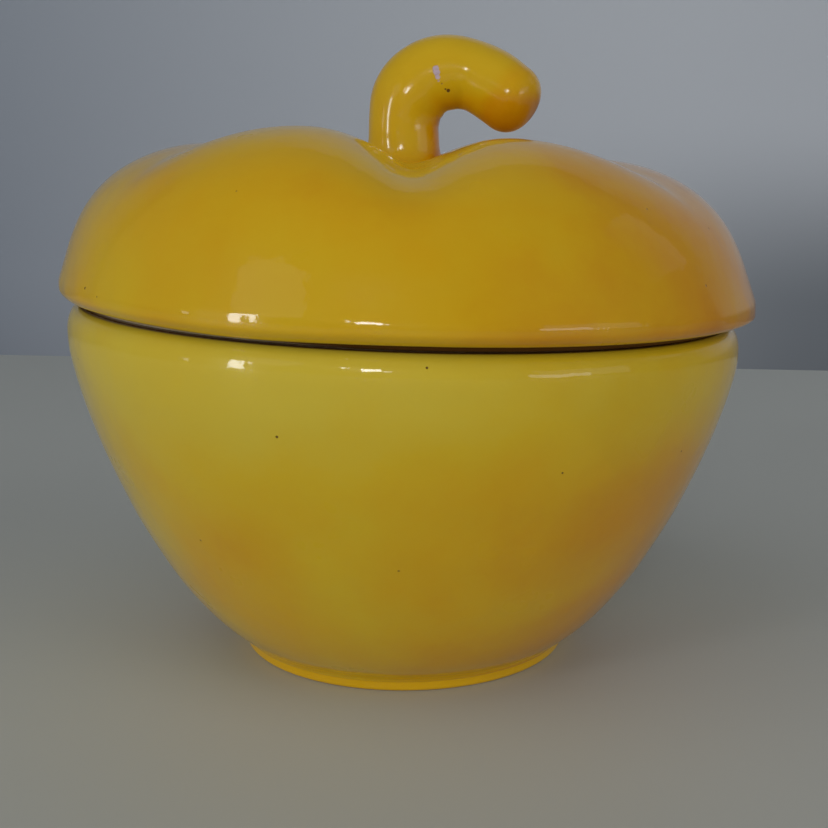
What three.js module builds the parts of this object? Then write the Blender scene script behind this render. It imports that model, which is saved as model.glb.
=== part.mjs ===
// A lidded ceramic jar shaped like a squat pumpkin: a tapering bowl on a low foot ring,
// and a lobed dome lid with a locating flange underneath and a curled stem for a handle.
// Units are millimetres, +Z is up, and the origin is the centre of the foot on the table.

import * as THREE from "three";

// ---- Driving dimensions ----------------------------------------------------------------

const bowlRadius = 78; // the bowl at its widest, just under the rim
const rimHeight = 81.5; // table to the flat seat on the rim
const footRadius = 39.2;
const lidRadius = 80;
const overallHeight = 144.6; // table to the top of the stem, before the rim leans

const wall = 6; // clay thickness of the bowl
const lidWall = 6.5;
const lute = 0.08; // slip line between clay members that were joined before firing
const seatGap = 0.3; // lid to rim, two separate fired pieces
const kilnSlope = 0.034; // the rim sank this much per millimetre towards +X in firing

// Foot ring
const footHeight = 2.2;
const footWidth = 6.5;
const footEdge = 0.7; // wiped chamfer around the bottom

// Bowl
const bowlBaseRadius = footRadius + 0.6;
const bowlBaseCurl = 1.3; // height of the rounded turn above the foot
const bellyRadius = 59.5; // the wall's curve heads for this point out of the foot
const bellyHeight = 14.5;
const upperBelly = 62; // and climbs upright from this height to its widest line
const shoulderDrop = 5.2; // widest line down to the seat level
const shoulderInset = 3.2;
const rimInnerEase = 0.8;
const floorEdgeShare = 0.55; // the inside floor is nearly flat out to this share of its radius
const floorDish = 0.6; // and this much higher there than at its middle

// Lid
const lidBase = rimHeight + 5.7; // level of the lid's widest line
const slotHeight = 1.5; // dark gap seen between lid and bowl
const slotEase = 0.4; // the lid's underside steps up to the gap over this width
const lipRadius = 2.4;
const lipTuck = 60; // degrees that the lip turns under from its widest line
const seatThickness = 4; // of the ring that rests on the rim
const hollowEase = 1.5; // the hollow's curve is this much tighter than the outside
const crestRadius = 44; // where the lobes stand highest
const crestHeight = 33.6; // lobes above the widest line
const bossRadius = 10; // small flat that carries the stem
const bossHeight = 28; // boss above the widest line
const lobeCount = 6;
const lobeTurn = THREE.MathUtils.degToRad(1.5); // first crest, measured from +X
const lobeRises = [-3.4, -0.8, 0, -2.5, 1, 0.3]; // each crest against crestHeight
const grooveDepths = [3, 9, 3, 2.5, 7.6, 3]; // the groove after each crest, front and back deepest
const grooveSharpness = 2.1;
const grooveRounding = 0.84; // a groove's bottom is rounded beyond this share of its half width
const domeRoundness = 1.14;
const lobeFade = 2.5; // how soon the lobes fade between crest and rim
const lidShift = 1; // the lid sits this far off centre, within the play of its flange

// Locating flange under the lid
const flangeRadius = 69.4;
const flangeWidth = 4.6;
const flangeDepth = 7;
const flangeEase = 1.2;

// Stem handle
const stemRadius = 8.3;
const stemBendRadius = 11.5; // of its middle line, from upright to level
const stemSwell = 0.035; // the rod is this much stouter at its bend
const stemTaper = 0.02; // and this much thinner at its end
const stemReach = 24.4; // axis of the stem's root to where its rounded end starts
const stemCurl = 3.5; // how far the end turns towards -Y
const stemTail = [[0.65, 0.12, 0.97], [0.81, 0.45, 0.885], [1, 1, 0.73]]; // reach, curl, rise
const stemFlare = 0.09; // it spreads this much where it is luted on
const flareLength = 0.12; // as a share of the stem's length, as are the next three
const swellAt = 0.42;
const swellSpread = 0.15;
const taperFrom = 0.45;
const stemEnd = [[1.9, 0.96], [3.8, 0.83], [5.2, 0.6]]; // beyond the end, share of its radius
const stemEndDepth = 6; // how far its blunt end bulges in all

// Smoothness of the faceted surfaces
const turns = 60;
const lidTurns = 12 * lobeCount;
const arcSteps = 5;
const bendSteps = 4;
const stemSides = 20;
const stemSteps = 26;

// ---- Materials -------------------------------------------------------------------------

const glaze = (color) => new THREE.MeshStandardMaterial({ color, roughness: 0.12, metalness: 0 });
const thinGlaze = (color) => new THREE.MeshStandardMaterial({ color, roughness: 0.35, metalness: 0 });

// ---- Shared geometry helpers -----------------------------------------------------------

const range = (count) => Array.from({ length: count + 1 }, (_, i) => i / count);
const smooth = (s) => s * s * (3 - 2 * s);

// A point of a turned profile; lobe is how fully the point follows the lobes of the lid.
const station = (r, z, lobe = 0) => Object.assign(new THREE.Vector2(r, z), { lobe });

// Stretch of an upright ellipse from one angle to another, both ends included.
function arc(centreR, centreZ, radiusR, radiusZ, fromDegrees, toDegrees, steps = arcSteps) {
  return range(steps).map((s) => {
    const angle = THREE.MathUtils.degToRad(fromDegrees + (toDegrees - fromDegrees) * s);
    return station(centreR + radiusR * Math.cos(angle), centreZ + radiusZ * Math.sin(angle));
  });
}

// The whole rim leans a little because the jar warped in the kiln. The foot stays flat.
function settle(geometry) {
  const position = geometry.attributes.position;
  for (let i = 0; i < position.count; i++) {
    const z = position.getZ(i);
    const share = Math.min(z / rimHeight, 1);
    position.setZ(i, z - kilnSlope * position.getX(i) * share);
  }
  geometry.computeVertexNormals();
  return geometry;
}

// How deep a groove is between a crest, where x is 0, and the groove's middle, where x is 1.
function grooveShare(x) {
  const slope = grooveSharpness * Math.pow(grooveRounding, grooveSharpness - 1);
  const bend = slope / (2 * (1 - grooveRounding));
  const middle = Math.pow(grooveRounding, grooveSharpness) + bend * (1 - grooveRounding) ** 2;
  const depth = x < grooveRounding ? Math.pow(x, grooveSharpness) : middle - bend * (1 - x) ** 2;
  return depth / middle;
}

// Height of the lobes around the lid, against the mean crest.
function lobeRelief(angle) {
  const turn = (angle - lobeTurn) / ((2 * Math.PI) / lobeCount);
  const nearest = Math.round(turn);
  const offset = turn - nearest;
  const around = (list, index) => list[((index % lobeCount) + lobeCount) % lobeCount];
  const towards = nearest + (offset < 0 ? -1 : 1);
  const groove = around(grooveDepths, Math.min(nearest, towards));
  const share = grooveShare(2 * Math.abs(offset));
  const rise = around(lobeRises, nearest) * (1 - share / 2) + (around(lobeRises, towards) * share) / 2;
  return rise - groove * share;
}

// Turns a profile around +Z, then raises each point by its share of the lobes.
function turned(profile, segments, startAngle = 0) {
  const geometry = new THREE.LatheGeometry(profile, segments, startAngle + Math.PI / 2);
  geometry.rotateX(Math.PI / 2);
  const position = geometry.attributes.position;
  for (let i = 0; i < position.count; i++) {
    const lobe = profile[i % profile.length].lobe;
    if (lobe > 0) {
      const relief = lobeRelief(Math.atan2(position.getY(i), position.getX(i)));
      position.setZ(i, position.getZ(i) + lobe * relief);
    }
  }
  return settle(geometry);
}

const named = (name, geometry, material) => {
  const mesh = new THREE.Mesh(geometry, material);
  mesh.name = name;
  return mesh;
};

// ---- Foot ring -------------------------------------------------------------------------

function footRing() {
  const outer = footRadius;
  const inner = footRadius - footWidth;
  const top = footHeight - lute;
  const profile = [
    station(inner + footEdge, 0),
    station(outer - footEdge, 0),
    station(outer, footEdge),
    station(outer, top),
    station(inner, top),
    station(inner, footEdge),
    station(inner + footEdge, 0),
  ];
  return turned(profile, turns);
}

// ---- Bowl ------------------------------------------------------------------------------

// The wall swells out of the foot and stands upright at its widest line.
function bowlWall(inset) {
  const start = new THREE.Vector2(bowlBaseRadius - inset * 0.5, footHeight + bowlBaseCurl + inset);
  const end = new THREE.Vector2(bowlRadius - inset, rimHeight - shoulderDrop);
  const lowPull = new THREE.Vector2(bellyRadius - inset * 0.9, bellyHeight + inset * 0.9);
  const highPull = new THREE.Vector2(bowlRadius - inset, upperBelly);
  return new THREE.CubicBezierCurve(start, lowPull, highPull, end);
}

function bowlShell() {
  const stations = (points) => points.map((p) => station(p.x, p.y));
  const outside = stations(bowlWall(0).getPoints(12));
  const inside = stations(bowlWall(wall).getPoints(9)).reverse();
  const widest = rimHeight - shoulderDrop;
  const seatOuter = bowlRadius - shoulderInset;
  const seatInner = bowlRadius - wall + rimInnerEase;
  const curl = arc(bowlBaseRadius - bowlBaseCurl / 2, footHeight + bowlBaseCurl,
    bowlBaseCurl / 2, bowlBaseCurl, -90, 0, 3);
  const profile = [
    station(0, footHeight),
    station(footRadius - footWidth, footHeight),
    ...curl.slice(0, -1),
    ...outside,
    ...arc(seatOuter, widest, shoulderInset, shoulderDrop, 0, 90).slice(1),
    ...arc(seatInner, rimHeight - rimInnerEase, rimInnerEase, rimInnerEase, 90, 180, 2),
    ...inside,
    station(inside.at(-1).x * floorEdgeShare, footHeight + wall + floorDish),
    station(0, footHeight + wall),
  ];
  return turned(profile, turns);
}

// ---- Lid -------------------------------------------------------------------------------

// Section of a lobed dome, from its widest line over the crest and down to the boss.
// Both heights are measured above the widest line, and steps count the facets of each part.
function domeSection({ radius, base, crestAt, crest, boss, outerSteps, innerSteps }) {
  const overCrest = range(outerSteps).map((s) => {
    const lift = Math.pow(Math.sin((s * Math.PI) / 2), domeRoundness);
    const reach = Math.cos((s * Math.PI) / 2);
    return station(crestAt + (radius - crestAt) * reach, base + crest * lift, Math.pow(lift, lobeFade));
  });
  const intoBoss = range(innerSteps).slice(1).map((s) => {
    const lift = smooth(1 - s);
    return station(crestAt + (bossRadius - crestAt) * s, base + boss + (crest - boss) * lift, lift);
  });
  return [...overCrest, ...intoBoss];
}

function lidDome() {
  const under = rimHeight + seatGap;
  const seatOuter = bowlRadius - shoulderInset;
  const hollowMouth = flangeRadius - flangeWidth;
  const outside = domeSection({
    radius: lidRadius, base: lidBase, crestAt: crestRadius,
    crest: crestHeight, boss: bossHeight, outerSteps: 9, innerSteps: 5,
  });
  const inside = domeSection({
    radius: lidRadius - lidWall - hollowEase, base: lidBase + hollowEase, crestAt: crestRadius - hollowEase,
    crest: crestHeight - lidWall - hollowEase, boss: bossHeight - lidWall - hollowEase,
    outerSteps: 7, innerSteps: 4,
  });
  const lipZ = rimHeight + slotHeight;
  const profile = [
    station(hollowMouth, under),
    station(seatOuter, under),
    station(seatOuter + slotEase, lipZ),
    station(lidRadius - lipRadius, lipZ),
    ...arc(lidRadius - lipRadius, lipZ + lipRadius, lipRadius, lipRadius, -lipTuck, 0, 3),
    ...outside,
    station(0, lidBase + bossHeight),
    station(0, lidBase + bossHeight - lidWall),
    ...inside.reverse(),
    station(hollowMouth, under + seatThickness),
    station(hollowMouth, under),
  ];
  return turned(profile, lidTurns, lobeTurn);
}

// ---- Locating flange -------------------------------------------------------------------

function lidFlange() {
  const top = rimHeight + seatGap - lute;
  const inner = flangeRadius - flangeWidth;
  const profile = [
    station(inner, top),
    station(inner, top - flangeDepth + flangeEase),
    station(inner + flangeEase, top - flangeDepth),
    station(flangeRadius - flangeEase, top - flangeDepth),
    station(flangeRadius, top - flangeDepth + flangeEase),
    station(flangeRadius, top),
    station(inner, top),
  ];
  return turned(profile, turns);
}

// ---- Stem handle -----------------------------------------------------------------------

// A round rod that rises from the boss, arches over and ends blunt, like a cut stalk.
function stemHandle() {
  const foot = lidBase + bossHeight + lute;
  const crown = overallHeight - stemRadius * (1 + stemSwell);
  const bend = range(bendSteps).map((s) => {
    const angle = (s * Math.PI) / 2;
    return [1 - Math.cos(angle), Math.sin(angle) - 1].map((share) => share * stemBendRadius);
  });
  const centreline = new THREE.CatmullRomCurve3([
    new THREE.Vector3(0, 0, foot),
    new THREE.Vector3(0, 0, (foot + crown - stemBendRadius) / 2),
    ...bend.map(([x, drop]) => new THREE.Vector3(x, 0, crown + drop)),
    ...stemTail.map(([reach, curl, rise]) =>
      new THREE.Vector3(stemReach * reach, -stemCurl * curl, foot + (crown - foot) * rise)),
  ]);
  const points = centreline.getSpacedPoints(stemSteps);
  const frames = centreline.computeFrenetFrames(stemSteps);
  const radiusAt = (s) => {
    const flare = stemFlare * Math.pow(1 - Math.min(s / flareLength, 1), 2);
    const swell = stemSwell * Math.exp(-Math.pow((s - swellAt) / swellSpread, 2));
    const taper = stemTaper * smooth(Math.max(s - taperFrom, 0) / (1 - taperFrom));
    return stemRadius * (1 + flare + swell - taper);
  };

  const rings = points.map((centre, i) => ({ centre, frame: i, radius: radiusAt(i / stemSteps) }));
  const endRadius = radiusAt(1);
  const endTangent = frames.tangents[stemSteps];
  for (const [beyond, share] of stemEnd) {
    const centre = points[stemSteps].clone().addScaledVector(endTangent, beyond);
    rings.push({ centre, frame: stemSteps, radius: endRadius * share });
  }

  const vertices = [];
  for (const { centre, frame, radius } of rings) {
    for (let side = 0; side < stemSides; side++) {
      const angle = (2 * Math.PI * side) / stemSides;
      const vertex = centre.clone()
        .addScaledVector(frames.normals[frame], radius * Math.cos(angle))
        .addScaledVector(frames.binormals[frame], radius * Math.sin(angle));
      vertices.push(vertex.x, vertex.y, frame === 0 ? foot : vertex.z);
    }
  }
  const bottom = vertices.length / 3;
  vertices.push(0, 0, foot);
  const tip = points[stemSteps].clone().addScaledVector(endTangent, stemEndDepth);
  vertices.push(tip.x, tip.y, tip.z);

  const faces = [];
  const last = (rings.length - 1) * stemSides;
  for (let side = 0; side < stemSides; side++) {
    const next = (side + 1) % stemSides;
    for (let ring = 0; ring < rings.length - 1; ring++) {
      const low = ring * stemSides;
      const high = low + stemSides;
      faces.push(low + side, low + next, high + next);
      faces.push(low + side, high + next, high + side);
    }
    faces.push(bottom, next, side);
    faces.push(bottom + 1, last + side, last + next);
  }
  const geometry = new THREE.BufferGeometry();
  geometry.setAttribute("position", new THREE.Float32BufferAttribute(vertices, 3));
  geometry.setIndex(faces);
  return settle(geometry);
}

// ---- Assembly --------------------------------------------------------------------------

const bowl = new THREE.Group();
bowl.add(named("bowl_body", bowlShell(), glaze("#e9bc2f")));
bowl.add(named("foot_ring", footRing(), thinGlaze("#d9a441")));

const lid = new THREE.Group();
lid.position.x = lidShift;
lid.add(named("lid_dome", lidDome(), glaze("#e5ab17")));
lid.add(named("lid_flange", lidFlange(), glaze("#dfa51c")));
const stem = named("stem_handle", stemHandle(), glaze("#e2a714"));
stem.position.x = -lidShift;
lid.add(stem);

const jar = new THREE.Group();
jar.add(bowl, lid);

export default jar;
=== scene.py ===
import math

import bpy
import numpy as np
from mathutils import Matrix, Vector


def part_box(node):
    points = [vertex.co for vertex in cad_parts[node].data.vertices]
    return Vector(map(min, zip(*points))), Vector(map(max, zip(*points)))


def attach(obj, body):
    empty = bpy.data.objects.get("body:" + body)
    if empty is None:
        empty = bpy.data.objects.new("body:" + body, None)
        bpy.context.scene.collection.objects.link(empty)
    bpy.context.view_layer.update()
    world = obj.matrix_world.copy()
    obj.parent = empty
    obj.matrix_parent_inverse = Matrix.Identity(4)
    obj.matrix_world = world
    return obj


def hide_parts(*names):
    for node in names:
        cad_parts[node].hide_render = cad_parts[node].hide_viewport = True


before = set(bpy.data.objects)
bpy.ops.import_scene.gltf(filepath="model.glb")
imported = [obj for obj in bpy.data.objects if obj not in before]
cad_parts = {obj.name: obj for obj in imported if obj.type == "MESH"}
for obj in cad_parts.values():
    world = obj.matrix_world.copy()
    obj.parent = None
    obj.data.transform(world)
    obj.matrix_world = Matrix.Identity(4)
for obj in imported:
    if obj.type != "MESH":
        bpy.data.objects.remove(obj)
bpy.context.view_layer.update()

MM = 0.001

# ---- Driving dimensions, in millimetres, read off the frame where it has them -----------


def span_mm(node):
    """A node's lowest and highest corners, in millimetres."""
    low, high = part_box(node)
    return np.array(low) / MM, np.array(high) / MM


foot_low, foot_high = span_mm("foot_ring")
bowl_low, bowl_high = span_mm("bowl_body")
lid_low, lid_high = span_mm("lid_dome")

FOOT_RADIUS = (foot_high[1] - foot_low[1]) / 2
BOWL_RADIUS = (bowl_high[1] - bowl_low[1]) / 2
LID_RADIUS = (lid_high[1] - lid_low[1]) / 2
LID_SHIFT = (lid_high[0] + lid_low[0]) / 2
RIM = 81.5  # table to the seat on the rim, before it leans
LEAN = 0.034  # the rim sinks this much per millimetre towards +X
WALL = 6
FOOT_HEIGHT = 2.2
FOOT_WIDTH = 6.5
BOWL_CURL = 1.3  # height of the rounded turn above the foot
SEAT_GAP = 0.3  # lid to rim
LUTE = 0.08  # slip line between clay members that were joined before firing

LID_BASE = RIM + 5.7  # level of the lid's widest line, which the next heights are above
CREST_RADIUS = 44
CREST = 33.6
BOSS_RADIUS = 10
BOSS = 28
DOME_ROUNDNESS = 1.14
LOBE_FADE = 2.5  # how soon the lobes fade between crest and rim
LID_WALL = 6.5
HOLLOW_EASE = 1.5  # the hollow's curve is this much tighter than the outside
FLANGE_RADIUS = 69.4
FLANGE_WIDTH = 4.6
FLANGE_DEPTH = 7

LOBES = 6
LOBE_TURN = math.radians(1.5)
LOBE_RISES = np.array([-3.4, -0.8, 0, -2.5, 1, 0.3])
GROOVES = np.array([3, 9, 3, 2.5, 7.6, 3])  # the groove after each crest
GROOVE_SHARPNESS = 2.1
GROOVE_ROUND_FROM = 0.84  # the groove's bottom is rounded from this share of its half width

STEM_RADIUS = 8.3
STEM_TOP = 144.6
STEM_BEND = 11.5  # radius of its middle line, from upright to level
STEM_FLARE = 0.09  # it spreads this much at its root, over a share of its length
FLARE_LENGTH = 0.12
STEM_SWELL = 0.035  # it is this much stouter at its bend
SWELL_AT, SWELL_SPREAD = 0.42, 0.15
STEM_TAPER = 0.02  # and this much thinner at its end
TAPER_FROM = 0.45
STEM_REACH = 24.4
STEM_CURL = 3.5  # how far the end turns towards -Y
STEM_TAIL = [(0.65, 0.12, 0.97), (0.81, 0.45, 0.885), (1, 1, 0.73)]  # reach, curl, rise
STEM_END_DEPTH = 6.1

SEGMENTS = 480

# ---- Shape helpers ----------------------------------------------------------------------


def smooth(s):
    """0 up to s = 0, 1 from s = 1, and an even turn between."""
    s = np.clip(s, 0, 1)
    return s * s * (3 - 2 * s)


def bump_at(value, centre, width):
    """A bell that is 1 at the centre."""
    return np.exp(-(((value - centre) / width) ** 2))


def turn_gap(angle, centre_degrees):
    """Angle from a centre, wrapped to half a turn either way, in degrees."""
    return (np.degrees(angle) - centre_degrees + 180) % 360 - 180


def groove_share(x):
    """How deep the groove is at x, its share of the way from a crest to the groove's middle."""
    edge = GROOVE_ROUND_FROM
    slope = GROOVE_SHARPNESS * edge ** (GROOVE_SHARPNESS - 1)
    bend = slope / (2 * (1 - edge))
    floor = edge**GROOVE_SHARPNESS + bend * (1 - edge) ** 2
    return np.where(x < edge, x**GROOVE_SHARPNESS, floor - bend * (1 - x) ** 2) / floor


def relief(angle):
    """Height of the lobes round the lid, against the mean crest."""
    turn = (angle - LOBE_TURN) / (2 * math.pi / LOBES)
    nearest = np.round(turn)
    offset = turn - nearest
    towards = nearest + np.where(offset < 0, -1, 1)
    share = groove_share(2 * np.abs(offset))
    rise = LOBE_RISES[nearest.astype(int) % LOBES] * (1 - share / 2)
    rise = rise + LOBE_RISES[towards.astype(int) % LOBES] * share / 2
    return rise - GROOVES[np.minimum(nearest, towards).astype(int) % LOBES] * share


def lean(points):
    """The whole rim leans a little towards +X; the foot stays flat."""
    points = points.copy()
    points[:, 2] -= LEAN * points[:, 0] * np.minimum(points[:, 2] / RIM, 1)
    return points


def line(start, end, count):
    return np.linspace(start, end, count)


def ellipse(centre, radii, from_degrees, to_degrees, count):
    angle = np.radians(np.linspace(from_degrees, to_degrees, count))
    return np.stack([centre[0] + radii[0] * np.cos(angle), centre[1] + radii[1] * np.sin(angle)], 1)


def bezier(p0, p1, p2, p3, count):
    t = np.linspace(0, 1, count)[:, None]
    p0, p1, p2, p3 = (np.array(p, float) for p in (p0, p1, p2, p3))
    return (1 - t) ** 3 * p0 + 3 * t * (1 - t) ** 2 * p1 + 3 * t * t * (1 - t) * p2 + t**3 * p3


def joined(*parts):
    """One profile from several stretches, without the points they share."""
    out = [parts[0]]
    for part in parts[1:]:
        same = np.linalg.norm(part[0, :2] - out[-1][-1, :2]) < 1e-6
        out.append(part[1:] if same else part)
    return np.concatenate(out)


def mesh_object(name, points_mm, faces):
    mesh = bpy.data.meshes.new(name)
    mesh.from_pydata((points_mm * MM).tolist(), [], faces)
    mesh.shade_smooth()
    mesh.update()
    made = bpy.data.objects.new(name, mesh)
    bpy.context.scene.collection.objects.link(made)
    return made


def give(made, name, values):
    """Stores one value for each point of a piece, which its material reads by this name."""
    attribute = made.data.attributes.new(name, "FLOAT", "POINT")
    attribute.data.foreach_set("value", np.asarray(values, np.float32))


def grid_faces(rings, sides, closed=False):
    ring = np.arange(rings if closed else rings - 1)
    side = np.arange(sides)
    i, j = np.meshgrid(ring, side, indexing="ij")
    up, across = (i + 1) % rings, (j + 1) % sides
    quads = np.stack([i * sides + j, i * sides + across, up * sides + across, up * sides + j], -1)
    return quads.reshape(-1, 4).tolist()


def fan_faces(bottom, top, last_ring, sides):
    """Closes both ends of a grid: ring 0 to the point bottom, and the last ring to the point top."""
    faces = []
    for j in range(sides):
        across = (j + 1) % sides
        faces.append((bottom, across, j))
        faces.append((top, last_ring + j, last_ring + across))
    return faces


def as_turned(r, phi, z, row):
    return r, z


def turned(name, profile, displace=as_turned, closed=False, shift=0.0):
    """Turns a profile of radius, height and lobe share round +Z, and gives each point's profile row too.
    The profile starts and ends on the axis unless it is closed. displace takes radius, angle, height
    and profile row, and gives the moved radius and height."""
    body = profile if closed else profile[1:-1]
    angle = np.linspace(0, 2 * math.pi, SEGMENTS, endpoint=False)
    row = np.repeat(np.arange(len(body)), SEGMENTS)
    phi = np.tile(angle, len(body))
    r, z, lobe = body[row, 0], body[row, 1], body[row, 2]
    z = z + lobe * relief(phi)
    r, z = displace(r, phi, z, row + (0 if closed else 1))
    points = np.stack([r * np.cos(phi), r * np.sin(phi), z], 1)
    faces = grid_faces(len(body), SEGMENTS, closed)
    if not closed:
        poles = np.array([[0, 0, profile[0, 1]], [0, 0, profile[-1, 1]]])
        base, last = len(points), len(points) - SEGMENTS
        points = np.concatenate([points, poles])
        faces += fan_faces(base, base + 1, last, SEGMENTS)
        row = np.concatenate([row + 1, [0, len(profile) - 1]])
    points = lean(points)
    points[:, 0] += shift
    return mesh_object(name, points, faces), row


def unlobed(points):
    return np.column_stack([points, np.zeros(len(points))])


# ---- Bowl ----------------------------------------------------------------------------------

SHOULDER_DROP, SHOULDER_INSET = 5.2, 3.2
BELLY_RADIUS, BELLY_HEIGHT = 59.5, 14.5  # the wall's curve heads for here out of the foot
UPPER_BELLY = 62  # and climbs upright from this height
RIM_EASE = 0.8
WIDEST = RIM - SHOULDER_DROP
SEAT_OUTER = BOWL_RADIUS - SHOULDER_INSET
SEAT_INNER = BOWL_RADIUS - WALL + RIM_EASE
UNDER_ROWS, CURL_ROWS, WALL_ROWS, SHOULDER_ROWS = 14, 8, 150, 26
BOWL_OUTSIDE_ROWS = UNDER_ROWS + CURL_ROWS - 1 + WALL_ROWS + SHOULDER_ROWS


def bowl_wall(inset, count):
    start = (FOOT_RADIUS + 0.6 - inset / 2, FOOT_HEIGHT + BOWL_CURL + inset)
    low = (BELLY_RADIUS - inset * 0.9, BELLY_HEIGHT + inset * 0.9)
    return bezier(start, low, (BOWL_RADIUS - inset, UPPER_BELLY), (BOWL_RADIUS - inset, WIDEST), count)


def bowl_profile():
    inside = bowl_wall(WALL, 80)[::-1]
    edge_r, edge_z = inside[-1]
    floor_z = FOOT_HEIGHT + WALL
    turn_in = FOOT_RADIUS - 0.4
    return unlobed(joined(
        line((0, FOOT_HEIGHT), (turn_in, FOOT_HEIGHT), UNDER_ROWS),
        ellipse((turn_in, FOOT_HEIGHT + BOWL_CURL), (1, BOWL_CURL), -90, 0, CURL_ROWS),
        bowl_wall(0, WALL_ROWS),
        ellipse((SEAT_OUTER, WIDEST), (SHOULDER_INSET, SHOULDER_DROP), 0, 90, SHOULDER_ROWS),
        line((SEAT_OUTER, RIM), (SEAT_INNER, RIM), 5),
        ellipse((SEAT_INNER, RIM - RIM_EASE), (RIM_EASE, RIM_EASE), 90, 180, 7),
        inside,
        bezier((edge_r, edge_z), (edge_r - 7, edge_z - 1.6), (12, floor_z), (0, floor_z), 20),
    ))


def bowl_wobble(r, phi, z, row):
    """A hand-finished wall isn't quite round. The seat and the foot stay true."""
    free = smooth((z - 6) / 14) * smooth((RIM - 1.5 - z) / 9)
    wave = 0.20 * np.sin(2 * phi + 0.9) + 0.13 * np.sin(3 * phi - z / 21)
    wave += 0.07 * np.sin(5 * phi + z / 13 + 2)
    ripple = 0.045 * np.sin(z / 2.6 + 0.8 * np.sin(phi * 2)) * (0.5 + 0.5 * np.sin(3 * phi + z / 9))
    return r + free * (wave + ripple), z


bowl, bowl_row = turned("bowl_glazed", bowl_profile(), bowl_wobble)

# ---- Foot ring -----------------------------------------------------------------------------


FILLET_ROW = 9  # the foot's outside meets the bowl at this row of the bowl's wall


def foot_profile():
    """A low ring whose outside runs on into the bowl's wall without a step, and ends just inside it."""
    outer, inner = FOOT_RADIUS, FOOT_RADIUS - FOOT_WIDTH
    wall = bowl_wall(0, WALL_ROWS)
    on_wall = wall[FILLET_ROW]
    past = on_wall - wall[FILLET_ROW - 2]
    pull = on_wall - past * 2.6
    fillet = bezier((outer, 1.9), (outer, 3.0), pull, on_wall + (-0.25, 0.3), 16)
    return unlobed(joined(
        line((inner + 1.0, 0.0), (outer - 1.0, 0.0), 6),
        ellipse((outer - 1.0, 1.0), (1.0, 1.0), -90, 0, 9),
        fillet,
        line((on_wall[0] - 1.2, on_wall[1] + 0.5), (inner, FOOT_HEIGHT + 1.0), 4),
        line((inner, FOOT_HEIGHT + 0.4), (inner, 1.0), 4),
        ellipse((inner + 1.0, 1.0), (1.0, 1.0), 180, 262, 6),
    ))


foot, _ = turned("foot_glazed", foot_profile(), closed=True)

# ---- Lid -----------------------------------------------------------------------------------

LIP = 2.4  # radius of the rolled lip
LIP_Z = RIM + 1.5  # above the dark slot between lid and bowl
SLOT_EASE = 0.4  # the lid's underside steps up to the slot over this width
LIP_ROWS, DOME_ROWS, BOSS_ROWS = 18, 130, 50


def dome_section(radius, base, crest_at, crest, boss, outer_count, inner_count):
    """Section of a lobed dome, from its widest line over the crest and down to the boss."""
    s = np.linspace(0, 1, outer_count)
    lift = np.sin(s * math.pi / 2) ** DOME_ROUNDNESS
    outer = np.column_stack([
        crest_at + (radius - crest_at) * np.cos(s * math.pi / 2), base + crest * lift, lift**LOBE_FADE])
    s = np.linspace(0, 1, inner_count)[1:]
    lift = smooth(1 - s)
    inner = np.column_stack([
        crest_at + (BOSS_RADIUS - crest_at) * s, base + boss + (crest - boss) * lift, lift])
    return np.concatenate([outer, inner])


def lid_profile():
    under = RIM + SEAT_GAP
    mouth = FLANGE_RADIUS - FLANGE_WIDTH
    outside = dome_section(
        LID_RADIUS, LID_BASE, CREST_RADIUS, CREST, BOSS, DOME_ROWS, BOSS_ROWS)
    inside = dome_section(
        LID_RADIUS - LID_WALL - HOLLOW_EASE, LID_BASE + HOLLOW_EASE, CREST_RADIUS - HOLLOW_EASE,
        CREST - LID_WALL - HOLLOW_EASE, BOSS - LID_WALL - HOLLOW_EASE, 60, 30)[::-1]
    return joined(
        np.array([[0, LID_BASE + BOSS - LID_WALL, 0]]),
        inside,
        unlobed(line((mouth, under + 4), (mouth, under), 5)),
        unlobed(line((mouth, under), (SEAT_OUTER, under), 8)),
        unlobed(line((SEAT_OUTER, under), (SEAT_OUTER + SLOT_EASE, LIP_Z), 4)),
        unlobed(line((SEAT_OUTER + SLOT_EASE, LIP_Z), (LID_RADIUS - LIP, LIP_Z), 5)),
        unlobed(ellipse((LID_RADIUS - LIP, LIP_Z + LIP), (LIP, LIP), -90, 0, 14)),
        unlobed(line((LID_RADIUS, LIP_Z + LIP), (LID_RADIUS, LID_BASE), 6)),
        outside,
        np.array([[0, LID_BASE + BOSS, 0]]),
    )


LID_PROFILE = lid_profile()
OUTER_FROM = len(LID_PROFILE) - DOME_ROWS - BOSS_ROWS - LIP_ROWS  # the row where the lip turns out

EDGE_Z = LID_BASE - 0.3  # a soft corner runs round the lid here, below it the lip stands upright
EDGE_TILT = math.tan(math.radians(18))  # and above it the side slopes in
EDGE_SOFT = 1.1  # half the corner's height
EDGE_PROUD = 0.4
EDGE_END = LID_BASE + 8.2  # where the slope meets the dome's own curve


def edge_radius(z):
    """Upright below the soft corner, and sloping in by EDGE_TILT above it."""
    t = np.clip((z - EDGE_Z + EDGE_SOFT) / (2 * EDGE_SOFT), 0, 1)
    fall = np.where(t < 1, 2 * EDGE_SOFT * (t**3 - t**4 / 2), z - EDGE_Z)
    return LID_RADIUS + EDGE_PROUD - EDGE_TILT * fall


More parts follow.
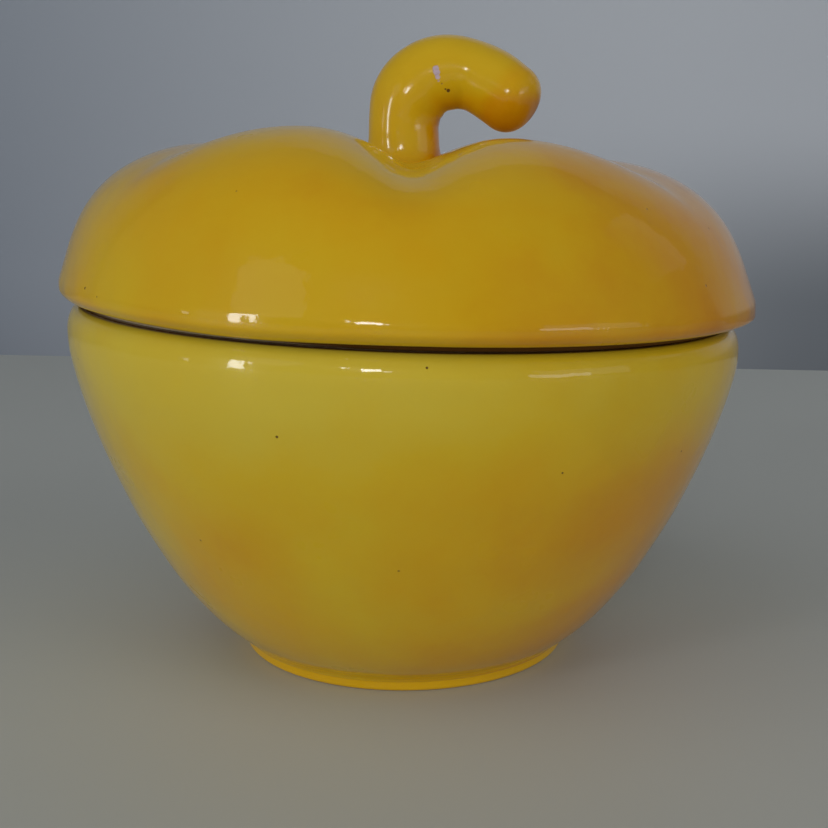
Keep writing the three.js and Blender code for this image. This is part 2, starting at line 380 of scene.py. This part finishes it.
def lid_shape(r, phi, z, row):
    """A soft corner runs round the lid above its lip, the dome is a little uneven as hand-finished
    clay is, and the lip is sharper at the right and hangs lower at the front left."""
    outside = row >= OUTER_FROM
    lift = ((EDGE_END - LID_BASE) / CREST) ** (1 / DOME_ROUNDNESS)
    dome_radius = CREST_RADIUS + (LID_RADIUS - CREST_RADIUS) * math.sqrt(1 - lift**2)
    short = edge_radius(np.array(EDGE_END)) - dome_radius
    above = r + short * (1 - smooth((z - EDGE_END) / 18))
    below = np.where(z < LIP_Z + LIP, r + EDGE_PROUD * smooth((z - LIP_Z) / LIP), edge_radius(z))
    share = smooth((z - EDGE_END + 2) / 4)
    r = np.where(outside & (r > 60), below * (1 - share) + above * share, r)

    free = outside * smooth((r - 12) / 12)
    wave = 0.16 * np.sin(2 * phi - 0.5) + 0.12 * np.sin(3 * phi + z / 17) + 0.08 * np.sin(5 * phi - z / 12)
    flutter = 0.05 * np.sin(23 * phi + 2 * np.sin(3 * phi)) + 0.03 * np.sin(61 * phi + 3 * np.sin(4 * phi))
    r = r + free * (wave * smooth((z - LID_BASE) / 12) + flutter * bump_at(z, EDGE_Z, 2.5))
    z = z + free * wave * smooth((z - LID_BASE - 10) / 12)

    sharp = 0.9 * bump_at(turn_gap(phi, -8), 0, 38) * bump_at(z, LIP_Z + 0.6, 1.0)
    r = r + outside * sharp
    sag = 0.5 * bump_at(turn_gap(phi, -114), 0, 16) - 0.15 * bump_at(turn_gap(phi, -24), 0, 18)
    lip = smooth((r - SEAT_OUTER - 0.5) / 2.5) * smooth((LID_BASE + 1 - z) / 3)
    return r, z - sag * lip


lid, lid_row = turned("lid_glazed", LID_PROFILE, lid_shape, shift=LID_SHIFT)


def flange_profile():
    top = RIM + SEAT_GAP - LUTE
    inner, outer = FLANGE_RADIUS - FLANGE_WIDTH, FLANGE_RADIUS
    low = top - FLANGE_DEPTH
    ease = 1.6
    return unlobed(joined(
        ellipse((inner + ease, low + ease), (ease, ease), 180, 270, 9),
        ellipse((outer - ease, low + ease), (ease, ease), -90, 0, 9),
        line((outer, low + ease), (outer, top - 1.0), 6),
        bezier((outer, top - 1.0), (outer, top), (outer + 0.5, top + 0.05), (outer + 1.0, top + 0.12), 7),
        line((outer + 1.0, top + 0.3), (inner, top + 0.3), 4),
        line((inner, top + 0.3), (inner, low + ease), 6),
    )[:-1])


flange, _ = turned("flange_glazed", flange_profile(), closed=True, shift=LID_SHIFT)

# ---- Stem ----------------------------------------------------------------------------------


def centripetal(points, count):
    """A smooth curve through the points, sampled evenly along its length."""
    points = [np.array(p, float) for p in points]
    points = [2 * points[0] - points[1]] + points + [2 * points[-1] - points[-2]]
    dense = []
    for a, b, c, d in zip(points, points[1:], points[2:], points[3:]):
        ka, kb, kc = (max(np.linalg.norm(q - p) ** 0.5, 1e-6) for p, q in ((a, b), (b, c), (c, d)))
        start = ((b - a) / ka - (c - a) / (ka + kb) + (c - b) / kb) * kb
        end = ((c - b) / kb - (d - b) / (kb + kc) + (d - c) / kc) * kb
        t = np.linspace(0, 1, 60, endpoint=False)[:, None]
        dense.append(
            b * (2 * t**3 - 3 * t * t + 1) + c * (3 * t * t - 2 * t**3)
            + start * (t**3 - 2 * t * t + t) + end * (t**3 - t * t))
    dense = np.concatenate(dense + [points[-2][None]])
    length = np.concatenate([[0], np.cumsum(np.linalg.norm(np.diff(dense, axis=0), axis=1))])
    at = np.linspace(0, length[-1], count)
    return np.stack([np.interp(at, length, dense[:, k]) for k in range(3)], 1), length[-1]


def stem_line(count):
    foot_z = LID_BASE + BOSS + LUTE
    crown = STEM_TOP - STEM_RADIUS * (1 + STEM_SWELL)
    bend = [(STEM_BEND * (1 - math.cos(a)), 0, crown + STEM_BEND * (math.sin(a) - 1))
            for a in np.linspace(0, math.pi / 2, 5)]
    ends = [(STEM_REACH * x, -STEM_CURL * y, foot_z + (crown - foot_z) * z) for x, y, z in STEM_TAIL]
    middle = (0, 0, (foot_z + crown - STEM_BEND) / 2)
    return centripetal([(0, 0, foot_z), middle, *bend, *ends], count)


def stem_frames(points):
    """Direction of the line at each point, and two directions across it that don't twist."""
    tangent = np.gradient(points, axis=0)
    tangent /= np.linalg.norm(tangent, axis=1)[:, None]
    side = np.array([0.0, -1.0, 0.0])
    sides = []
    for t in tangent:
        side = side - t * (side @ t)
        side = side / np.linalg.norm(side)
        sides.append(side)
    sides = np.array(sides)
    return tangent, sides, np.cross(tangent, sides)


STEM_SIDES = 96
STEM_RINGS = 200
CAP_RINGS = 26
CAP_BLUNTNESS = 0.78  # below 1 the rounded end is blunter than an ellipse
FILLET, FILLET_FADE = 1.1, 0.9  # the glaze pools round the root, and thins out upwards
ROOT_SINK = 1.0  # the root is carried down into the lid


def build_stem():
    points, length = stem_line(STEM_RINGS)
    tangent, first, second = stem_frames(points)
    s = np.linspace(0, 1, STEM_RINGS)
    radius = STEM_RADIUS * (
        1 + STEM_FLARE * (1 - np.minimum(s / FLARE_LENGTH, 1)) ** 2
        + STEM_SWELL * bump_at(s, SWELL_AT, SWELL_SPREAD)
        - STEM_TAPER * smooth((s - TAPER_FROM) / (1 - TAPER_FROM)))
    radius = radius + FILLET * np.exp(-s * length / FILLET_FADE)

    cap = np.linspace(0, 1, CAP_RINGS + 1)[1:-1]
    beyond = STEM_END_DEPTH * np.sin(cap * math.pi / 2)
    share = np.cos(cap * math.pi / 2) ** CAP_BLUNTNESS
    points = np.concatenate([points, points[-1] + np.outer(beyond, tangent[-1])])
    first = np.concatenate([first, np.repeat(first[-1:], len(cap), 0)])
    second = np.concatenate([second, np.repeat(second[-1:], len(cap), 0)])
    radius = np.concatenate([radius, radius[-1] * share])

    rings = len(points)
    i = np.repeat(np.arange(rings), STEM_SIDES)
    a = np.tile(np.linspace(0, 2 * math.pi, STEM_SIDES, endpoint=False), rings)
    along = np.concatenate([s, np.ones(len(cap))])[i]
    uneven = 0.10 * np.sin(2 * a + 9 * along) + 0.07 * np.sin(3 * a - 14 * along)
    uneven += 0.09 * np.sin(23 * along)
    on_cap = (i >= STEM_RINGS) * smooth((i - STEM_RINGS) / len(cap))
    r = radius[i] + uneven * smooth(along / 0.1) * (1 - on_cap)
    made = points[i] + r[:, None] * (np.cos(a)[:, None] * first[i] + np.sin(a)[:, None] * second[i])
    made[:STEM_SIDES, 2] -= ROOT_SINK

    bottom = np.array([0, 0, made[0, 2]])
    tip = points[STEM_RINGS - 1] + STEM_END_DEPTH * tangent[STEM_RINGS - 1]
    low, last = rings * STEM_SIDES, (rings - 1) * STEM_SIDES
    faces = grid_faces(rings, STEM_SIDES) + fan_faces(low, low + 1, last, STEM_SIDES)
    made = np.concatenate([made, [bottom, tip]])
    return mesh_object("stem_glazed", lean(made), faces), np.concatenate([along, [0, 1]])


stem, stem_along = build_stem()

# ---- Materials -----------------------------------------------------------------------------


def linear(*rgb):
    """sRGB 0 to 255, as linear colour."""
    return tuple(((c / 255 + 0.055) / 1.055) ** 2.4 if c > 10 else c / 255 / 12.92 for c in rgb) + (1.0,)


class Nodes:
    """A material's node tree, with short calls to add to it. An input is given by its name, or as
    i and its number where a node has several of the same name."""

    def __init__(self, name):
        self.material = bpy.data.materials.new(name)
        self.material.use_nodes = True
        self.tree = self.material.node_tree
        self.shader = self.tree.nodes["Principled BSDF"]

    def add(self, kind, settings=None, **inputs):
        node = self.tree.nodes.new(kind)
        for key, value in (settings or {}).items():
            setattr(node, key, value)
        for key, value in inputs.items():
            self.put(node.inputs[int(key[1:]) if key[0] == "i" and key[1:].isdigit() else key], value)
        return node

    def put(self, socket, value):
        if isinstance(value, bpy.types.NodeSocket):
            self.tree.links.new(value, socket)
        else:
            socket.default_value = value

    def math(self, operation, a, b=0.0, clamp=False):
        node = self.add("ShaderNodeMath", {"operation": operation, "use_clamp": clamp}, i0=a, i1=b)
        return node.outputs[0]

    def mix(self, factor, a, b):
        node = self.add("ShaderNodeMix", {"data_type": "RGBA"}, i0=factor, i6=a, i7=b)
        return node.outputs[2]

    def noise(self, where, scale, detail=2.0, roughness=0.5, distortion=0.0):
        node = self.add("ShaderNodeTexNoise", Vector=where, Scale=scale, Detail=detail,
                        Roughness=roughness, Distortion=distortion)
        return node.outputs["Fac"]

    def between(self, value, low, high, to_low=0.0, to_high=1.0):
        node = self.add("ShaderNodeMapRange", {"interpolation_type": "SMOOTHSTEP"},
                        i0=value, i1=low, i2=high, i3=to_low, i4=to_high)
        return node.outputs[0]

    def attribute(self, name):
        return self.add("ShaderNodeAttribute", {"attribute_name": name}).outputs["Fac"]

    def swing(self, noise, size):
        """A noise that averages 0.5, as a swing of this size about 0."""
        return self.math("MULTIPLY", self.math("SUBTRACT", noise, 0.5), size)

    def sum(self, first, *others):
        for other in others:
            first = self.math("ADD", first, other)
        return first


# Glaze colours, from thin to pooled
PALE = linear(222, 196, 60)
LEMON = linear(222, 185, 30)
YELLOW = linear(221, 171, 13)
WARM = linear(214, 148, 6)
DEEP = linear(179, 97, 2)
FOOT_BAND = linear(230, 179, 14)
CLAY = linear(222, 205, 180)
CLAY_DARK = linear(196, 172, 140)
PIT = linear(112, 78, 30)
# Painted shade for the slot between lid and bowl
GAP_SHADE_COLOUR = linear(98, 62, 22)
CHIP = linear(205, 185, 200)
PIT_DEPTH, CHIP_DEPTH = 0.8, 0.4
PINHOLES_PER_METRE = 90.0


def blotches(n, where):
    """Broad and fine mottling of a glaze, about 0."""
    broad = n.noise(where, 17, 2.0, 0.55, 0.6)
    middle = n.noise(where, 55, 3.0, 0.55)
    fine = n.noise(where, 420, 2.0, 0.5)
    return n.sum(n.swing(broad, 1.5), n.swing(middle, 0.55), n.swing(fine, 0.12)), middle


def tone_ramp(n, tone, tones):
    ramp = n.add("ShaderNodeValToRGB", Fac=n.between(tone, -1.0, 1.0))
    elements = ramp.color_ramp.elements
    while len(elements) < len(tones):
        elements.new(0.5)
    for k, colour in enumerate(tones):
        elements[k].position = k / (len(tones) - 1)
        elements[k].color = colour
    return ramp.outputs["Color"]


def glaze(name, tones, lean_to=0.0, spots=(), polish=0.05):
    """Glossy glaze. tones are its colours from thin to pooled. The tone attribute, lean_to and the
    mottling choose between them. The bare attribute is 1 where there is no glaze. The gap shade
    attribute is 1 where shade in the slot between lid and bowl is painted in as a dark colour
    without shine. spots are blemishes: centre in metres, radius in mm, colour, depth."""
    n = Nodes(name)
    where = n.add("ShaderNodeTexCoord").outputs["Object"]
    mottle, middle = blotches(n, where)
    colour = tone_ramp(n, n.sum(n.attribute("tone"), mottle, lean_to), tones)

    bare = n.sum(n.attribute("bare"), n.swing(n.noise(where, 260, 3.0), 0.5))
    bare = n.between(bare, 0.42, 0.58)
    clay = n.mix(n.noise(where, 900, 4.0), CLAY, CLAY_DARK)
    colour = n.mix(bare, colour, clay)

    cells = n.add("ShaderNodeTexVoronoi", Vector=where, Scale=PINHOLES_PER_METRE, Randomness=1.0)
    pin = n.between(cells.outputs["Distance"], 0.012, 0.03, 1.0, 0.0)
    colour = n.mix(n.math("MULTIPLY", pin, 0.6), colour, PIT)

    height = n.sum(n.math("MULTIPLY", n.noise(where, 95, 1.0), 0.55),
                   n.math("MULTIPLY", n.noise(where, 330, 2.0), 0.16),
                   n.math("MULTIPLY", pin, -0.5))
    rough = n.math("ADD", 0.22, n.math("MULTIPLY", middle, 0.16))
    # Painted shade: where the gap shade attribute is set, the colour goes dark and the coat loses its
    # shine
    gap_shade = n.attribute("gap_shade")
    colour = n.mix(gap_shade, colour, GAP_SHADE_COLOUR)
    glazed = n.math("SUBTRACT", n.math("SUBTRACT", 1.0, bare), gap_shade, clamp=True)
    shine = n.math("MULTIPLY", glazed, 0.85)
    for centre, radius_mm, spot_colour, depth in spots:
        radius = radius_mm * MM
        away = n.add("ShaderNodeVectorMath", {"operation": "DISTANCE"}, i0=where, i1=centre)
        ragged = n.sum(away.outputs["Value"], n.swing(n.noise(where, 900, 2.0), radius * 0.9))
        mask = n.between(ragged, radius * 0.75, radius * 1.1, 1.0, 0.0)
        colour = n.mix(mask, colour, spot_colour)
        height = n.math("SUBTRACT", height, n.math("MULTIPLY", mask, depth))
        rough = n.math("ADD", rough, n.math("MULTIPLY", mask, 0.35))
        shine = n.math("SUBTRACT", shine, n.math("MULTIPLY", mask, 0.7), clamp=True)

    grain = n.math("MULTIPLY", n.math("MULTIPLY", bare, n.noise(where, 2200, 3.0)), 0.25)
    bump = n.add("ShaderNodeBump", Strength=0.55, Distance=0.0006, Height=n.sum(height, grain))
    s = n.shader
    n.put(s.inputs["Base Color"], colour)
    n.put(s.inputs["Roughness"], n.math("ADD", rough, n.math("MULTIPLY", bare, 0.5), clamp=True))
    n.put(s.inputs["Normal"], bump.outputs["Normal"])
    n.put(s.inputs["Coat Normal"], bump.outputs["Normal"])
    n.put(s.inputs["Coat Weight"], shine)
    s.inputs["Coat Roughness"].default_value = polish
    s.inputs["Coat IOR"].default_value = 1.5
    s.inputs["Specular IOR Level"].default_value = 0.1
    s.inputs["IOR"].default_value = 1.45
    return n.material


def at_mm(x, y, z):
    return x * MM, y * MM, z * MM


def dress(made, material, body, node):
    """Gives a piece its glaze, and puts it in the place of a CAD node on a body."""
    made.data.materials.append(material)
    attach(made, body)
    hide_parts(node)


def polar(made):
    """Each point of a piece in millimetres, with its radius and angle."""
    co = np.zeros(len(made.data.vertices) * 3)
    made.data.vertices.foreach_get("co", co)
    co = co.reshape(-1, 3) / MM
    return co, np.hypot(co[:, 0], co[:, 1]), np.arctan2(co[:, 1], co[:, 0])


def unleaned(co):
    """Heights as they were before the rim leant."""
    return co[:, 2] + LEAN * co[:, 0] * np.minimum(co[:, 2] / RIM, 1)


LOW_TONE = 0.15  # the glaze is warmer low on the bowl


def right_side_shade(front):
    """Painted shade: the glaze is coloured warmer and darker round the right side of the bowl, away from
    the light.
    """
    return 0.60 * smooth((front - 8) / 48) * smooth((120 - front) / 40)


def bowl_looks():
    co, r, phi = polar(bowl)
    z = unleaned(co)
    front = turn_gap(phi, -90)
    tone = -0.55 * smooth((z - 50) / 22) + LOW_TONE * smooth((34 - z) / 20)
    tone += 0.40 * bump_at(front + 42 - (z - 30) * 1.1, 0, 16) * bump_at(z, 32, 14)
    tone += 0.20 * bump_at(front - 30 + (45 - z) * 0.9, 0, 18) * bump_at(z, 40, 14)
    # Painted shade round the right side, away from the light
    tone += right_side_shade(front)
    give(bowl, "tone", np.where(bowl_row < BOWL_OUTSIDE_ROWS, tone, -0.5))
    seat = (np.abs(z - RIM) < 0.05) & (r < SEAT_OUTER) & (r > SEAT_INNER)
    give(bowl, "bare", seat.astype(float))
    # Painted shade in the slot under the lid's lip, on the bowl's shoulder
    slot = smooth((SEAT_OUTER + 0.9 - r) / 0.5) * smooth((r - SEAT_OUTER + 1.4) / 0.8) * (z > RIM - 1)
    give(bowl, "gap_shade", slot)
    spots = [
        (at_mm(-23.3, -72.2, 65.0), 0.32, PIT, PIT_DEPTH),
        (at_mm(31.0, -67.0, 56.8), 0.26, PIT, PIT_DEPTH),
        (at_mm(58.0, -45.8, 56.3), 0.26, PIT, PIT_DEPTH),
        (at_mm(4.7, -77.2, 78.9), 0.28, PIT, PIT_DEPTH),
    ]
    dress(bowl, glaze("bowl_glaze", [PALE, LEMON, YELLOW, WARM], -0.1, spots),
          "bowl", "bowl_body")


def foot_looks():
    co, r, phi = polar(foot)
    band = smooth((3.4 - co[:, 2]) / 1.6) * (r > FOOT_RADIUS - 1.5)
    # The painted shade round the right side carries on into the foot above its band
    give(foot, "tone", LOW_TONE + (1 - band) * right_side_shade(turn_gap(phi, -90)) + 0.8 * band)
    stands = co[:, 2] < 0.12
    wiped = (r < FOOT_RADIUS - FOOT_WIDTH + 1.6) & (co[:, 2] < 1.0)
    give(foot, "bare", stands.astype(float) + wiped * 0.6)
    dress(foot, glaze("foot_glaze", [PALE, LEMON, YELLOW, FOOT_BAND], -0.1),
          "bowl", "foot_ring")


def lid_looks():
    co, r, phi = polar(lid)
    z = unleaned(co)
    groove = smooth((-relief(phi) - 1) / 9) * smooth((z - 96) / 14)
    # Painted shade: deeper orange on the lip's band where it turns under, and from lemon on the left to
    # deep orange on the right, away from the light
    tone = -0.05 * groove + 0.20 * bump_at(z, RIM + 3, 1.6) + 0.20 * bump_at(r, 10, 2.5) * (r < 20)
    tone = tone - 0.42 + 0.85 * smooth((co[:, 0] + 5) / 72)
    outside = lid_row >= OUTER_FROM
    give(lid, "tone", np.where(outside, tone, -0.3))
    under = (~outside) & (r > FLANGE_RADIUS + 0.5) & (r < SEAT_OUTER + 0.5) & (z < RIM + 4)
    give(lid, "bare", under.astype(float))
    # Painted shade in the slot on the lid's underside, inside its lip
    slot = smooth((r - SEAT_OUTER + 0.5) / 0.4) * smooth((LID_RADIUS - LIP + 0.9 - r) / 0.8)
    give(lid, "gap_shade", slot * (z < LIP_Z + 0.2))
    spots = [
        (at_mm(-64.4, -45.9, 90.3), 0.32, PIT, PIT_DEPTH),
        (at_mm(-60.7, -50.9, 89.0), 0.34, PIT, PIT_DEPTH),
    ]
    dress(lid, glaze("lid_glaze", [LEMON, YELLOW, WARM, DEEP], -0.12, spots),
          "lid", "lid_dome")


def flange_looks():
    z = unleaned(polar(flange)[0])
    give(flange, "tone", np.full(len(z), -0.2))
    give(flange, "bare", smooth((RIM - FLANGE_DEPTH + 2.0 - z) / 1.2))
    dress(flange, glaze("flange_glaze", [LEMON, YELLOW, WARM]), "lid", "lid_flange")


def stem_looks():
    co = polar(stem)[0]
    # Painted shade: deeper orange on the inner side of the upright under the arch, on the low part of the
    # tail and over its end
    inner = smooth((co[:, 0] - 2) / 5) * smooth((0.36 - stem_along) / 0.2)
    tone = 0.35 * bump_at(stem_along, 0.0, 0.05) + 0.55 * inner
    tone += 0.45 * smooth((stem_along - 0.90) / 0.1)
    tone += 0.45 * smooth((132 - co[:, 2]) / 4) * smooth((co[:, 0] - 5) / 3)
    give(stem, "tone", tone)
    spots = [
        (at_mm(7.3, -8.4, 135.9), 0.75, CHIP, CHIP_DEPTH),
        (at_mm(7.5, -8.5, 135.0), 0.85, CHIP, CHIP_DEPTH),
        (at_mm(7.7, -8.6, 134.0), 0.80, CHIP, CHIP_DEPTH),
        (at_mm(7.9, -8.5, 133.1), 0.60, CHIP, CHIP_DEPTH),
        (at_mm(10.1, -7.0, 131.2), 0.45, PIT, PIT_DEPTH),
        (at_mm(9.5, -7.2, 131.5), 0.30, PIT, PIT_DEPTH),
    ]
    dress(stem, glaze("stem_glaze", [LEMON, YELLOW, WARM, DEEP], -0.6, spots, 0.1),
          "lid", "stem_handle")


bowl_looks()
foot_looks()
lid_looks()
flange_looks()
stem_looks()

# ---- Floor and backdrop --------------------------------------------------------------------


def floor_look():
    n = Nodes("floor_paint")
    shade = n.noise(n.add("ShaderNodeTexCoord").outputs["Object"], 3.0, 3.0)
    colour = linear(192, 196, 192)
    darker = tuple(c * 0.95 for c in colour[:3]) + (1.0,)
    n.put(n.shader.inputs["Base Color"], n.mix(shade, colour, darker))
    n.put(n.shader.inputs["Roughness"], n.math("ADD", 0.5, n.math("MULTIPLY", shade, 0.1)))
    n.shader.inputs["Specular IOR Level"].default_value = 0.3
    return n.material


def slab(name, corners, material):
    mesh = bpy.data.meshes.new(name)
    mesh.from_pydata(corners, [], [tuple(range(len(corners)))])
    made = bpy.data.objects.new(name, mesh)
    bpy.context.scene.collection.objects.link(made)
    made.data.materials.append(material)
    return made


def backdrop_look():
    """Pale wall with painted shade: darker to the left and low at the left, and a painted shadow close
    above the table at the right.
    """
    n = Nodes("backdrop_paint")
    where = n.add("ShaderNodeTexCoord").outputs["Object"]
    apart = n.add("ShaderNodeSeparateXYZ", Vector=where)
    x, z = apart.outputs["X"], apart.outputs["Z"]
    # painted shade: the wall darkens towards the left
    colour = n.mix(n.between(x, -0.75, 0.30), linear(148, 158, 172), linear(226, 232, 240))
    # painted shadow on the wall close above the table at the right
    low_right = n.math("MULTIPLY", n.between(z, -0.04, 0.16, 1.0, 0.0), n.between(x, -0.1, 0.45))
    colour = n.mix(n.math("MULTIPLY", low_right, 0.75), colour, linear(96, 104, 112))
    # painted shade low on the wall at the left
    low_left = n.math("MULTIPLY", n.between(z, -0.05, 0.30, 1.0, 0.0), n.between(x, -0.9, -0.2, 1.0, 0.0))
    colour = n.mix(n.math("MULTIPLY", low_left, 0.35), colour, linear(110, 118, 132))
    mottle = n.noise(where, 1.5, 3.0)
    colour = n.mix(n.math("MULTIPLY", mottle, 0.12), colour, linear(170, 178, 188))
    n.put(n.shader.inputs["Base Color"], colour)
    n.put(n.shader.inputs["Roughness"], n.math("ADD", 0.8, n.math("MULTIPLY", mottle, 0.1)))
    n.shader.inputs["Specular IOR Level"].default_value = 0.2
    return n.material


FLOOR_SIDE = 1.6  # half its width
FLOOR_BACK = 0.429  # its far edge, behind the jar, nearer on the right by this slant
FLOOR_SLANT = 0.1228
WALL_AT, WALL_SIDE, WALL_LOW, WALL_HIGH = 1.0, 2.2, -0.8, 1.6

slab("floor", [
    (-FLOOR_SIDE, -FLOOR_SIDE, 0),
    (FLOOR_SIDE, -FLOOR_SIDE, 0),
    (FLOOR_SIDE, FLOOR_BACK - FLOOR_SLANT * FLOOR_SIDE, 0),
    (-FLOOR_SIDE, FLOOR_BACK + FLOOR_SLANT * FLOOR_SIDE, 0),
], floor_look())
slab("backdrop", [
    (-WALL_SIDE, WALL_AT, WALL_LOW),
    (WALL_SIDE, WALL_AT, WALL_LOW),
    (WALL_SIDE, WALL_AT, WALL_HIGH),
    (-WALL_SIDE, WALL_AT, WALL_HIGH),
], backdrop_look())

# ---- Light ---------------------------------------------------------------------------------

CENTRE = Vector((0, 0, 0.09))
COOL = (0.97, 0.99, 1.0)
SOFT = (1.0, 0.97, 0.93)
NEAR = 1.5  # from the jar's centre to the lights that mirror in its glaze


def card(name, azimuth, elevation, width, height, power, distance=NEAR, colour=COOL):
    """A soft light. Azimuth 0 is in front, towards -Y, and positive azimuth is towards +X."""
    a, e = math.radians(azimuth), math.radians(elevation)
    light = bpy.data.lights.new(name, "AREA")
    light.shape = "RECTANGLE"
    light.size, light.size_y = width, height
    light.energy = power
    light.color = colour
    made = bpy.data.objects.new(name, light)
    away = Vector((math.sin(a) * math.cos(e), -math.cos(a) * math.cos(e), math.sin(e)))
    made.location = CENTRE + away * distance
    made.rotation_mode = "QUATERNION"
    made.rotation_quaternion = (-away).to_track_quat("-Z", "Y")
    made.visible_camera = False
    bpy.context.scene.collection.objects.link(made)
    return made


def fill(name, azimuth, elevation, distance, width, height, power):
    """A broad light that lights the jar and doesn't mirror in it."""
    card(name, azimuth, elevation, width, height, power, distance, SOFT).visible_glossy = False


# Panes of a window on the left and of one in front, which give the sharp highlights
for pane in (
    ("window_left", -51.5, 6, 0.16, 0.50, 3.2),
    ("window_left_low", -51.5, -6, 0.13, 0.08, 0.35),
    ("window_left_edge", -71, 4, 0.10, 0.16, 0.12),
    ("window_front", -9.5, 16, 0.16, 0.20, 1.8),
    ("window_front_edge", -18, 19, 0.07, 0.15, 0.3),
    ("window_front_side", -3.5, 15, 0.04, 0.12, 0.12),
):
    card(*pane)

# Soft-edged shapes are nests of cards, each smaller than the last
for share in (1.0, 0.8, 0.6, 0.4):
    card(f"low_right_{share:.2f}", 60, 9, 0.9 * share, 0.46 * share, 0.6 * share)
card("low_right", 49, 3, 0.5, 0.20, 0.65)
for share in (1.0, 0.85, 0.7, 0.55, 0.4, 0.25):
    curtain = card(f"curtain_{share:.2f}", -42, 23, 0.62 * share, 0.46 * share, 0.26 * share)
    curtain.data.shape = "ELLIPSE"
for share in (1.0, 0.8, 0.6, 0.4, 0.2):
    card(f"side_wall_{share:.2f}", 108 - 11 * share, 30, 0.58 * share, 0.6, 0.045 * share)

fill("soft_top", -30, 60, 1.6, 1.5, 1.2, 3.3)
fill("soft_right", 55, 25, 1.8, 1.4, 1.2, 4.4)
fill("soft_left", -75, 20, 1.8, 1.4, 1.2, 3.1)
fill("soft_front", 5, 8, 1.6, 1.2, 0.6, 1.2)

world = bpy.data.worlds.new("room")
bpy.context.scene.world = world
world.use_nodes = True
world.node_tree.nodes["Background"].inputs["Color"].default_value = (0.90, 0.93, 1.0, 1)
world.node_tree.nodes["Background"].inputs["Strength"].default_value = 0.12

# ---- Camera --------------------------------------------------------------------------------

CAMERA_PITCH = 11.23  # degrees down

camera_data = bpy.data.cameras.new("camera")
camera = bpy.data.objects.new("camera", camera_data)
bpy.context.scene.collection.objects.link(camera)
camera_data.sensor_width = 36
camera_data.lens = 56.6  # millimetres
camera_data.clip_start = 0.01
camera.location = (0.00238, -0.3103, 0.1167)
camera.rotation_euler = (math.radians(90 - CAMERA_PITCH), 0, 0)
bpy.context.scene.camera = camera

bpy.context.scene.view_settings.view_transform = "Standard"
bpy.context.scene.view_settings.look = "None"
